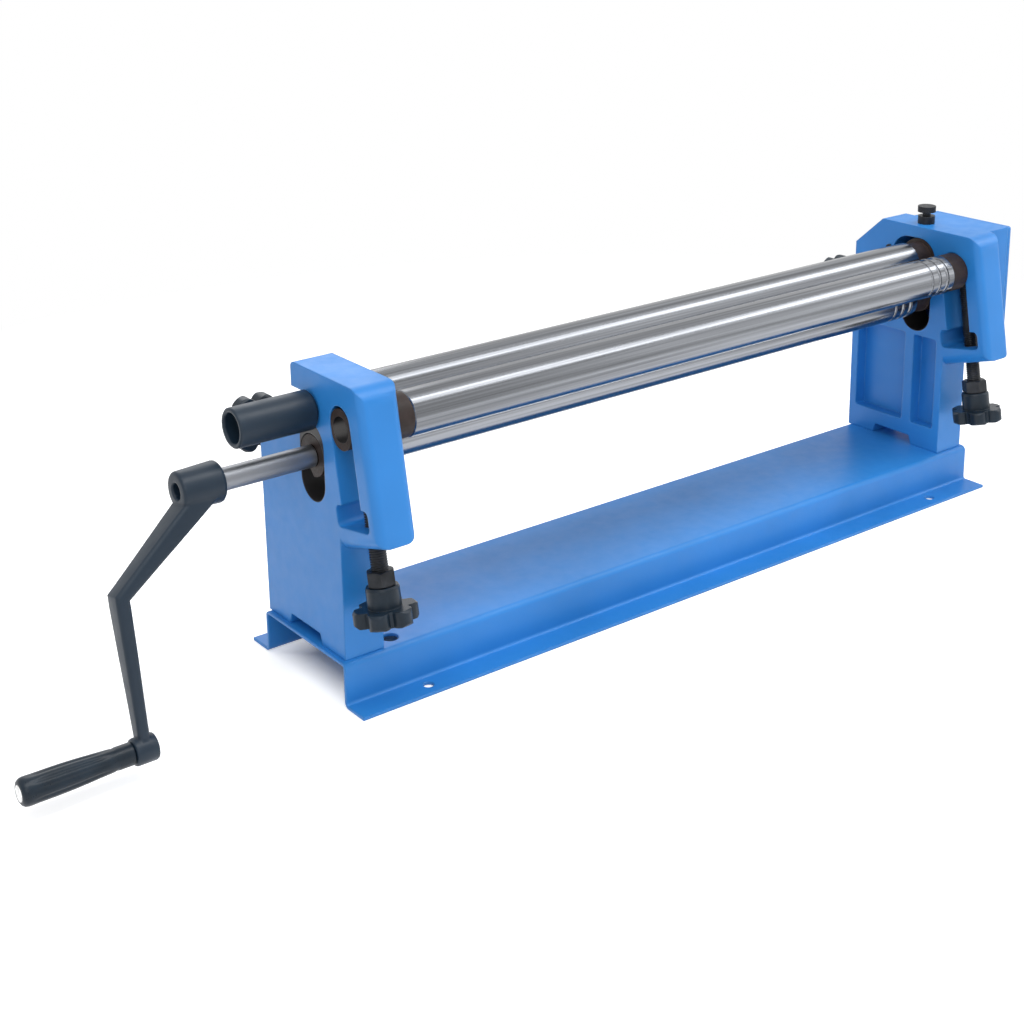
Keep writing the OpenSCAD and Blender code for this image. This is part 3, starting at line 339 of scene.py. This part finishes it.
def make_materials():
    """One material for each slot of the record."""
    return {
        "blue_paint": paint_material("blue_paint", (0.019, 0.192, 0.545), 0.40, 0.00016,
                                     worn=(0.22, 0.38, 0.62), wear=0.25, shine=0.4, shade_slots=True),
        "dark_paint": paint_material("dark_paint", (0.006, 0.017, 0.032), 0.40, 0.00010,
                                     worn=(0.06, 0.08, 0.10), wear=0.4, shine=0.35),
        "ground_steel": ground_steel_material("ground_steel", (0.212, 0.221, 0.238), JOURNALS),
        "gear_steel": ground_steel_material("gear_steel", (0.34, 0.34, 0.35)),
        "zinc_steel": ground_steel_material("zinc_steel", (0.66, 0.66, 0.65)),
        "bearing_iron": iron_material("bearing_iron", (0.020, 0.012, 0.010), 0.5, 0.0),
        "black_steel": iron_material("black_steel", (0.022, 0.024, 0.028), 0.42, 0.5),
        "black_plastic": plastic_material("black_plastic", (0.006, 0.014, 0.024), 0.34),
        "pad_brass": iron_material("pad_brass", (0.55, 0.36, 0.12), 0.35, 1.0),
    }


MATERIALS = make_materials()


def dress(obj, slot_name):
    """Gives an object one material slot's finish."""
    obj.data.materials.clear()
    obj.data.materials.append(MATERIALS[slot_name])


def dress_cad():
    """Puts the materials on the CAD nodes."""
    for name, obj in NODES.items():
        dress(obj, SLOT_OF[name])


dress_cad()


# Pieces
def add_object(name, data):
    """A new object in the scene."""
    obj = bpy.data.objects.new(name, data)
    bpy.context.scene.collection.objects.link(obj)
    return obj


def new_piece(name, mesh, slot_name, body):
    """A piece with the slot's finish that rides on a body."""
    obj = add_object(name, mesh)
    dress(obj, slot_name)
    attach(obj, body)
    return obj


# The front screws' tilt, a point on their line, and the frames' distance from the middle
TILT = math.radians(10.0)
UP_TILT = Vector((0.0, math.sin(TILT), math.cos(TILT)))
BEND_AXIS = Vector((0.0, -0.0646, 0.2341))
FRAME_MID = 0.358
# The screws' thread: radius, pitch, depth, chamfer at the ends, points around
THREAD_R = 0.00695
THREAD_PITCH = 0.002
THREAD_DEEP = 0.0011
THREAD_END = 0.0008
THREAD_AROUND = 48
# Distances within which its points are joined, or lie in an end face
THREAD_MERGE = 1e-7
LEVEL_MATCH = 1e-6
# One pitch of it from crest to root: share of the pitch, share of the depth
THREAD_PROFILE = ((0.0, 0.0), (0.18, 0.0), (0.50, 1.0), (0.68, 1.0))


def thread_rings(length):
    """Rings of (radius, height, angle) that follow the thread's helix, flat at both ends."""
    rings = []
    for turn in range(-1, int(length / THREAD_PITCH) + 3):
        for share, deep in THREAD_PROFILE:
            ring = []
            for i in range(THREAD_AROUND):
                z = (turn + share + i / THREAD_AROUND) * THREAD_PITCH
                z_in = min(max(z, 0.0), length)
                near_end = min(z_in, length - z_in)
                r = min(THREAD_R - THREAD_DEEP * deep, THREAD_R - THREAD_END + near_end)
                ring.append((r, z_in, math.tau * i / THREAD_AROUND))
            rings.append(ring)
    return rings


def thread_mesh(name, start, direction, length):
    """A rod with a rolled thread: a ridge that winds up the rod, flat crest and root."""
    bm = bmesh.new()
    verts = [[bm.verts.new((r * math.cos(a), r * math.sin(a), z)) for r, z, a in ring]
             for ring in thread_rings(length)]
    per_turn = len(THREAD_PROFILE)
    count = len(verts)
    for j in range(count - 1):
        for i in range(THREAD_AROUND):
            nxt = (i + 1) % THREAD_AROUND
            up = 0 if nxt else per_turn
            if j + 1 + up >= count:
                continue
            quad = (verts[j][i], verts[j + up][nxt], verts[j + 1 + up][nxt], verts[j + 1][i])
            zs = {round(v.co.z, 7) for v in quad}
            if zs == {0.0} or zs == {round(length, 7)}:
                continue
            bm.faces.new(quad)
    loose = [v for v in bm.verts if not v.link_faces]
    bmesh.ops.delete(bm, geom=loose, context="VERTS")
    bmesh.ops.remove_doubles(bm, verts=bm.verts, dist=THREAD_MERGE)
    bmesh.ops.dissolve_degenerate(bm, edges=bm.edges, dist=THREAD_MERGE)
    for level in (0.0, length):
        rim = [e for e in bm.edges if e.is_boundary]
        edges = [e for e in rim if all(abs(v.co.z - level) < LEVEL_MATCH for v in e.verts)]
        if edges:
            bmesh.ops.edgeloop_fill(bm, edges=edges)
    bmesh.ops.recalc_face_normals(bm, faces=bm.faces)
    turn_to = Vector(direction).normalized().to_track_quat("Z", "Y").to_matrix().to_4x4()
    bmesh.ops.transform(bm, matrix=Matrix.Translation(Vector(start)) @ turn_to, verts=bm.verts)
    for face in bm.faces:
        face.smooth = True
    mesh = bpy.data.meshes.new(name)
    bm.to_mesh(mesh)
    bm.free()
    return mesh


def threaded_piece(node, start, direction, length):
    """A threaded rod in place of the node of one adjusting screw."""
    name = node + "_thread"
    mesh = thread_mesh(name, start, direction, length)
    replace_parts(new_piece(name, mesh, "black_steel", node), node)


def adjusting_screws():
    """Threaded rods in place of the plain CAD cylinders of the four adjusting screws."""
    for side, sign in (("left", -1), ("right", 1)):
        node = "front_screw_" + side
        low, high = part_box(node)
        end_drop = THREAD_R * math.sin(TILT)
        bottom = (low.z + end_drop - BEND_AXIS.z) / math.cos(TILT)
        top = (high.z - end_drop - BEND_AXIS.z) / math.cos(TILT)
        start = BEND_AXIS + UP_TILT * bottom + Vector((sign * FRAME_MID, 0, 0))
        threaded_piece(node, start, UP_TILT, top - bottom)
        node = "rear_screw_" + side
        low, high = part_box(node)
        start = Vector((sign * FRAME_MID, low.y, (low.z + high.z) / 2))
        threaded_piece(node, start, (0, 1, 0), high.y - low.y)


adjusting_screws()

# Edges sharper than this stay sharp, in degrees; the end frames have a stricter one
SHARP_ANGLE = 35.0
FRAME_SHARP = 28.0
# The crank as in the CAD: shaft axis, lean, hub, shaft end, the bar's bends, boss and bolt
SHAFT_YZ = (-0.0205, 0.2004)
CRANK_LEAN = math.radians(11.5)
HUB_X = -0.458
HUB_OUT_X = -0.493
HUB_R = 0.0165
HUB_END_R = 0.0152
HUB_HOLE_R = 0.0065
SHAFT_END_X = -0.483
SHAFT_R = 0.0090
HUB_SOFT = 0.0028
HOLE_SOFT = 0.001
BAR_ROOT_X = HUB_X - 0.00875
ELBOW = (-0.550, -0.065)
ELBOW_HALVES = (0.0060, 0.0097)
FOOT_Z = -0.180
BOSS_R = 0.0105
BOSS_HALF = 0.009
BOSS_SOFT = 0.0018
BOLT_R = 0.00405
# Clearance between the hub and the shaft
HUB_FIT = 0.0001
# The grip: its ends, radii of collar, swell and bolt head, depth of that head's seat, flutes
GRIP_NEAR_X = -0.5595
GRIP_FAR_X = -0.6455
GRIP_SMALL_R = 0.0086
GRIP_BIG_R = 0.0108
GRIP_HEAD_R = 0.0064
GRIP_SEAT = 0.0043
FLUTES = 10
FLUTE_DEEP = 0.0008
# Shares of the grip's length: where its swell starts, how long it rises, where it is drawn
SWELL_FROM = 0.19
SWELL_SPAN = 0.55
SWELL_SHARES = (0.24, 0.32, 0.42, 0.52, 0.62, 0.72, 0.82, 0.90)
# Sections of the bar from hub to boss: share of the leg, half thickness, half width
UPPER_LEG = ((0.0, 0.0092, 0.0135), (0.12, 0.0088, 0.0132), (0.35, 0.0080, 0.0122),
             (0.70, 0.0066, 0.0106), (0.93, 0.0057, 0.0098))
LOWER_LEG = ((0.06, 0.0056, 0.0096), (0.35, 0.0053, 0.0088),
             (0.75, 0.0047, 0.0074), (1.0, 0.0045, 0.0068))
# Radius of the bar's edges, and its largest share of a half size
BAR_CORNER = 0.0034
CORNER_SHARE = 0.85
# Points around the hub, the boss and the grip
HUB_STEPS = 64
BOSS_STEPS = 48
GRIP_STEPS = 120


def turned(bm, profile, yz, steps, flutes=0, deep=0.0, fluted=()):
    """Adds a body turned about an X line through yz, from a closed profile of (x, radius)."""
    rings = []
    for index, (x, r) in enumerate(profile):
        ring = []
        for i in range(steps):
            a = math.tau * i / steps
            wave = (0.5 - 0.5 * math.cos(flutes * a)) ** 2 if index in fluted else 0.0
            out = r - deep * wave
            ring.append(bm.verts.new((x, yz[0] + out * math.cos(a), yz[1] + out * math.sin(a))))
        rings.append(ring)
    for one, two in zip(rings, rings[1:] + rings[:1]):
        for i in range(steps):
            k = (i + 1) % steps
            bm.faces.new((one[i], one[k], two[k], two[i]))


def rounded_section(centre, along_a, along_b, half_a, half_b, steps=5):
    """Points of a rounded rectangle about centre, spanned by two directions."""
    corner = min(BAR_CORNER, half_a * CORNER_SHARE, half_b * CORNER_SHARE)
    points = []
    for sign_a, sign_b, start in ((1, 1, 0), (-1, 1, 90), (-1, -1, 180), (1, -1, 270)):
        mid_a, mid_b = sign_a * (half_a - corner), sign_b * (half_b - corner)
        for k in range(steps + 1):
            a = math.radians(start + 90 * k / steps)
            off_a, off_b = mid_a + corner * math.cos(a), mid_b + corner * math.sin(a)
            points.append(centre + along_a * off_a + along_b * off_b)
    return points


def bar_sections():
    """The bar's sections in the crank's own plane: centre, thickness direction, half sizes."""
    root = Vector((BAR_ROOT_X, 0.0, 0.0))
    elbow = Vector((ELBOW[0], 0.0, ELBOW[1]))
    foot = Vector((ELBOW[0], 0.0, FOOT_Z))
    down_in, down_out = (elbow - root).normalized(), (foot - elbow).normalized()
    side_in = Vector((-down_in.z, 0.0, down_in.x))
    side_out = Vector((-down_out.z, 0.0, down_out.x))
    bend = (side_in + side_out).normalized()
    sections = [(root.lerp(elbow, share), side_in, a, b) for share, a, b in UPPER_LEG]
    sections.append((elbow, bend, *ELBOW_HALVES))
    sections += [(elbow.lerp(foot, share), side_out, a, b) for share, a, b in LOWER_LEG]
    return sections


def finish_mesh(bm, name, angle=SHARP_ANGLE):
    """Bmesh to a mesh with outward normals, smooth except at edges sharper than the angle."""
    bmesh.ops.recalc_face_normals(bm, faces=bm.faces)
    for face in bm.faces:
        face.smooth = True
    for edge in bm.edges:
        edge.smooth = len(edge.link_faces) == 2 and edge.calc_face_angle(0.0) < math.radians(angle)
    mesh = bpy.data.meshes.new(name)
    bm.to_mesh(mesh)
    bm.free()
    return mesh


def crank_casting():
    """Cast crank: rounded hub on the shaft, bent bar with soft edges, boss for the grip."""
    bm = bmesh.new()
    quarter = [(HUB_SOFT * (1 - math.cos(a)), HUB_SOFT * (1 - math.sin(a)))
               for a in (math.radians(d) for d in (0, 30, 60, 90))]
    round_in = [(HUB_X - along, HUB_R - up) for along, up in quarter]
    round_out = [(HUB_OUT_X + up, HUB_END_R - along) for along, up in quarter]
    profile = [(HUB_X, SHAFT_R + HUB_FIT), *round_in, *round_out,
               (HUB_OUT_X, HUB_HOLE_R + HOLE_SOFT), (HUB_OUT_X + HOLE_SOFT, HUB_HOLE_R),
               (SHAFT_END_X + HUB_FIT, HUB_HOLE_R), (SHAFT_END_X + HUB_FIT, SHAFT_R + HUB_FIT)]
    turned(bm, profile, SHAFT_YZ, HUB_STEPS)
    lean = Matrix.Translation((0, *SHAFT_YZ)) @ Matrix.Rotation(-CRANK_LEAN, 4, "X")
    rings = []
    for centre, side, half_a, half_b in bar_sections():
        ring = rounded_section(centre, side, Vector((0, 1, 0)), half_a, half_b)
        rings.append([bm.verts.new(lean @ point) for point in ring])
    for one, two in zip(rings, rings[1:]):
        for i in range(len(one)):
            k = (i + 1) % len(one)
            bm.faces.new((one[i], one[k], two[k], two[i]))
    bm.faces.new(rings[0])
    bm.faces.new(rings[-1])
    foot = lean @ Vector((0, 0, FOOT_Z))
    left, right = ELBOW[0] - BOSS_HALF, ELBOW[0] + BOSS_HALF
    mid = BOSS_SOFT * 0.3
    boss = [(left, BOLT_R), (left, BOSS_R - BOSS_SOFT), (left + mid, BOSS_R - mid),
            (left + BOSS_SOFT, BOSS_R), (right - BOSS_SOFT, BOSS_R),
            (right - mid, BOSS_R - mid), (right, BOSS_R - BOSS_SOFT), (right, BOLT_R)]
    turned(bm, boss, (foot.y, foot.z), BOSS_STEPS)
    piece = new_piece("crank_casting", finish_mesh(bm, "crank_casting"), "dark_paint", "lower_roll")
    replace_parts(piece, "crank_arm")


def fluted_grip():
    """Turning grip: collar, swell with lengthwise flutes, rounded end round the bolt's head."""
    bm = bmesh.new()
    foot_y = SHAFT_YZ[0] + FOOT_Z * math.sin(CRANK_LEAN)
    foot_z = SHAFT_YZ[1] + FOOT_Z * math.cos(CRANK_LEAN)
    near, far = GRIP_NEAR_X, GRIP_FAR_X
    length = near - far
    collar = ((0.0, 0.0006), (0.0006, 0.0), (0.012, 0.0), (0.014, 0.0004), (0.016, 0.0))
    profile = [(near, BOLT_R)] + [(near - along, GRIP_SMALL_R - under) for along, under in collar]
    first = len(profile)
    for share in SWELL_SHARES:
        rise = math.sin(math.radians(90 * min(1.0, (share - SWELL_FROM) / SWELL_SPAN)))
        swell = GRIP_SMALL_R + (GRIP_BIG_R - GRIP_SMALL_R) * rise
        profile.append((near - share * length, swell))
    last = len(profile)
    end = ((0.005, 0.0), (0.0025, 0.0005), (0.0008, 0.0018), (0.0, 0.0034))
    profile += [(far + along, GRIP_BIG_R - under) for along, under in end]
    profile += [(far, GRIP_HEAD_R), (far + GRIP_SEAT, GRIP_HEAD_R), (far + GRIP_SEAT, BOLT_R)]
    fluted = range(first + 1, last - 1)
    turned(bm, profile, (foot_y, foot_z), GRIP_STEPS, FLUTES, FLUTE_DEEP, fluted)
    mesh = finish_mesh(bm, "fluted_grip")
    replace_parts(new_piece("fluted_grip", mesh, SLOT_OF["crank_grip"], "crank_grip"), "crank_grip")


crank_casting()
fluted_grip()

# The arms' undersides: where they leave the legs, how they rise, and the corners' radius
LEG_FRONT_Y = -0.0575
ARM_LOW_Z = 0.1330
ARM_TIP_Y = -0.1250
ARM_RISE = math.radians(17.0)
ARM_CORNER = 0.011
# The cutter stands off the casting's flat faces and off the leg by these
SKIN = 0.00002
LEG_SKIN = 0.0001
# Joins points closer than this after the cut, which closes its slivers
CUT_MERGE = 0.00003
# How far the cutter reaches past the frame's faces, and below the underside
CUT_MARGIN = 0.004
CUT_DROP = 0.03
FRAME_FACES = {"left_frame": (-0.376, -0.340), "right_frame": (0.340, 0.376)}


def arm_cutter(x0, x1):
    """Object that takes a casting's arm below a rising underside with two rounded corners."""
    section = [(x0 - CUT_MARGIN, -CUT_DROP), (x1 + CUT_MARGIN, -CUT_DROP),
               (x1 + CUT_MARGIN, ARM_CORNER), (x1 + SKIN, ARM_CORNER)]
    for mid, first in ((x1 - ARM_CORNER, 0), (x0 + ARM_CORNER, 90)):
        for a in range(first, first + 91, 10):
            r = ARM_CORNER + SKIN
            turn = math.radians(a)
            section.append((mid + r * math.cos(turn), ARM_CORNER - r * math.sin(turn)))
    section += [(x0 - SKIN, ARM_CORNER), (x0 - CUT_MARGIN, ARM_CORNER)]
    bm = bmesh.new()
    rings = []
    for y in (LEG_FRONT_Y - LEG_SKIN, ARM_TIP_Y):
        base = ARM_LOW_Z + (LEG_FRONT_Y - y) * math.tan(ARM_RISE)
        rings.append([bm.verts.new((x, y, base + up / math.cos(ARM_RISE))) for x, up in section])
    for i in range(len(section)):
        k = (i + 1) % len(section)
        bm.faces.new((rings[0][i], rings[0][k], rings[1][k], rings[1][i]))
    bm.faces.new(rings[0])
    bm.faces.new(rings[1])
    bmesh.ops.recalc_face_normals(bm, faces=bm.faces)
    mesh = bpy.data.meshes.new("cutter")
    bm.to_mesh(mesh)
    bm.free()
    return add_object("cutter", mesh)


def shaped_castings():
    """The two end frames with the arm's soft lower end, each in place of its CAD node."""
    for node, (x0, x1) in FRAME_FACES.items():
        source = NODES[node].data
        work = bpy.data.meshes.new("work")
        faces = [tuple(f.vertices) for f in source.polygons]
        work.from_pydata([v.co.copy() for v in source.vertices], [], faces)
        obj = add_object("work", work)
        cutter = arm_cutter(x0, x1)
        cut = obj.modifiers.new("cut", "BOOLEAN")
        cut.operation = "DIFFERENCE"
        cut.solver = "EXACT"
        cut.object = cutter
        bpy.context.view_layer.update()
        cut_mesh = obj.evaluated_get(bpy.context.evaluated_depsgraph_get()).to_mesh()
        bm = bmesh.new()
        bm.from_mesh(cut_mesh)
        bmesh.ops.remove_doubles(bm, verts=bm.verts, dist=CUT_MERGE)
        for gone in (obj, cutter):
            old = gone.data
            bpy.data.objects.remove(gone)
            bpy.data.meshes.remove(old)
        name = node + "_casting"
        piece = new_piece(name, finish_mesh(bm, name, FRAME_SHARP), "blue_paint", "frame")
        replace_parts(piece, node)


shaped_castings()


# Stage
def make_camera():
    """The camera at the photograph's place and angle."""
    yaw, pitch, roll = (math.radians(a) for a in (CAMERA_YAW, CAMERA_PITCH, CAMERA_ROLL))
    level = math.cos(pitch)
    forward = Vector((math.sin(yaw) * level, math.cos(yaw) * level, -math.sin(pitch)))
    right = Vector((math.cos(yaw), -math.sin(yaw), 0.0))
    up = right.cross(forward)
    cam_right = right * math.cos(roll) + up * math.sin(roll)
    cam_up = up * math.cos(roll) - right * math.sin(roll)
    data = bpy.data.cameras.new("camera")
    data.sensor_width = SENSOR
    data.lens = FOCAL * SENSOR
    data.shift_y = SHIFT_Y
    data.clip_start, data.clip_end = CAMERA_CLIP
    obj = add_object("camera", data)
    turn = Matrix((cam_right, cam_up, -forward)).transposed()
    obj.matrix_world = Matrix.Translation(CAMERA_AT) @ turn.to_4x4()
    bpy.context.scene.camera = obj


def area_lamp(name, at, target, length, width, watts):
    """A soft rectangular lamp that looks at a target."""
    data = bpy.data.lights.new(name, "AREA")
    data.shape = "RECTANGLE"
    data.size = length
    data.size_y = width
    data.energy = watts
    obj = add_object(name, data)
    obj.location = at
    obj.rotation_mode = "QUATERNION"
    obj.rotation_quaternion = (Vector(target) - Vector(at)).to_track_quat("-Z", "Y")


def seen_rays(nodes, link):
    """1 for camera, mirror and glass rays, which meet the white background, 0 for light."""
    rays = nodes.new("ShaderNodeLightPath").outputs
    shiny = maths(nodes, link, "MAXIMUM", rays["Is Glossy Ray"], rays["Is Transmission Ray"])
    return maths(nodes, link, "MAXIMUM", rays["Is Camera Ray"], shiny)


def make_world():
    """An even grey sky for the object, white for the camera and in reflections."""
    world = bpy.data.worlds.new("studio")
    bpy.context.scene.world = world
    world.use_nodes = True
    nodes, link = world.node_tree.nodes, world.node_tree.links.new
    nodes.clear()
    out = nodes.new("ShaderNodeOutputWorld")
    seen, lit = (nodes.new("ShaderNodeBackground") for _ in range(2))
    pick = nodes.new("ShaderNodeMixShader")
    seen.inputs["Color"].default_value = (1, 1, 1, 1)
    lit.inputs["Color"].default_value = SKY_COLOUR
    lit.inputs["Strength"].default_value = SKY_STRENGTH
    link(seen_rays(nodes, link), pick.inputs["Fac"])
    link(lit.outputs[0], pick.inputs[1])
    link(seen.outputs[0], pick.inputs[2])
    link(pick.outputs[0], out.inputs["Surface"])


def make_floor():
    """A plain pale floor at the bench plane: shadows near the object, a painted shadow where the
    base covers it, white further out.
    """
    mesh = bpy.data.meshes.new("floor")
    signs = ((-1, -1), (1, -1), (1, 1), (-1, 1))
    mesh.from_pydata([(x * FLOOR_HALF, y * FLOOR_HALF, 0) for x, y in signs], [], [(0, 1, 2, 3)])
    obj = add_object("floor", mesh)
    obj.location.z = -FLOOR_DROP
    mat, nodes, link, shader = new_material("floor")
    vector = scaled_coords(nodes, link)
    tone = mix_colour(nodes, link, noise(nodes, link, vector, 3.0), (0.90,) * 3, (0.92,) * 3)
    link(tone, shader.inputs["Base Color"])
    shader.inputs["Roughness"].default_value = 0.9
    shader.inputs["Specular IOR Level"].default_value = 0.0
    glow, white = (nodes.new("ShaderNodeEmission") for _ in range(2))
    rays = seen_rays(nodes, link)
    split = nodes.new("ShaderNodeSeparateXYZ")
    link(vector, split.inputs[0])
    # Painted shadow: the patch of floor under the base gets no glow
    open_sides = []
    for axis, half in enumerate(SHADOW_UNDER_BASE):
        away = maths(nodes, link, "ABSOLUTE", split.outputs[axis], 0.0)
        open_sides.append(ramp(nodes, link, away, half - SHADOW_UNDER_FADE, half))
    outside = maths(nodes, link, "MAXIMUM", *open_sides)
    glow_here = maths(nodes, link, "MULTIPLY", outside, FLOOR_GLOW)
    link(maths(nodes, link, "MULTIPLY", rays, glow_here), glow.inputs["Strength"])
    add = nodes.new("ShaderNodeAddShader")
    link(shader.outputs["BSDF"], add.inputs[0])
    link(glow.outputs[0], add.inputs[1])
    reach = nodes.new("ShaderNodeVectorMath")
    reach.operation = "LENGTH"
    link(vector, reach.inputs[0])
    far = ramp(nodes, link, reach.outputs["Value"], *FLOOR_FADE)
    pick = nodes.new("ShaderNodeMixShader")
    link(maths(nodes, link, "MULTIPLY", far, rays), pick.inputs["Fac"])
    link(add.outputs[0], pick.inputs[1])
    link(white.outputs[0], pick.inputs[2])
    out = next(n for n in nodes if n.type == "OUTPUT_MATERIAL")
    link(pick.outputs[0], out.inputs["Surface"])
    obj.data.materials.append(mat)


def make_lights():
    """A long soft box overhead, a key from the front left, fill from the right, a back light."""
    for lamp in LAMPS:
        area_lamp(*lamp)


make_camera()
make_world()
make_floor()
make_lights()
bpy.context.scene.view_settings.view_transform = "Standard"
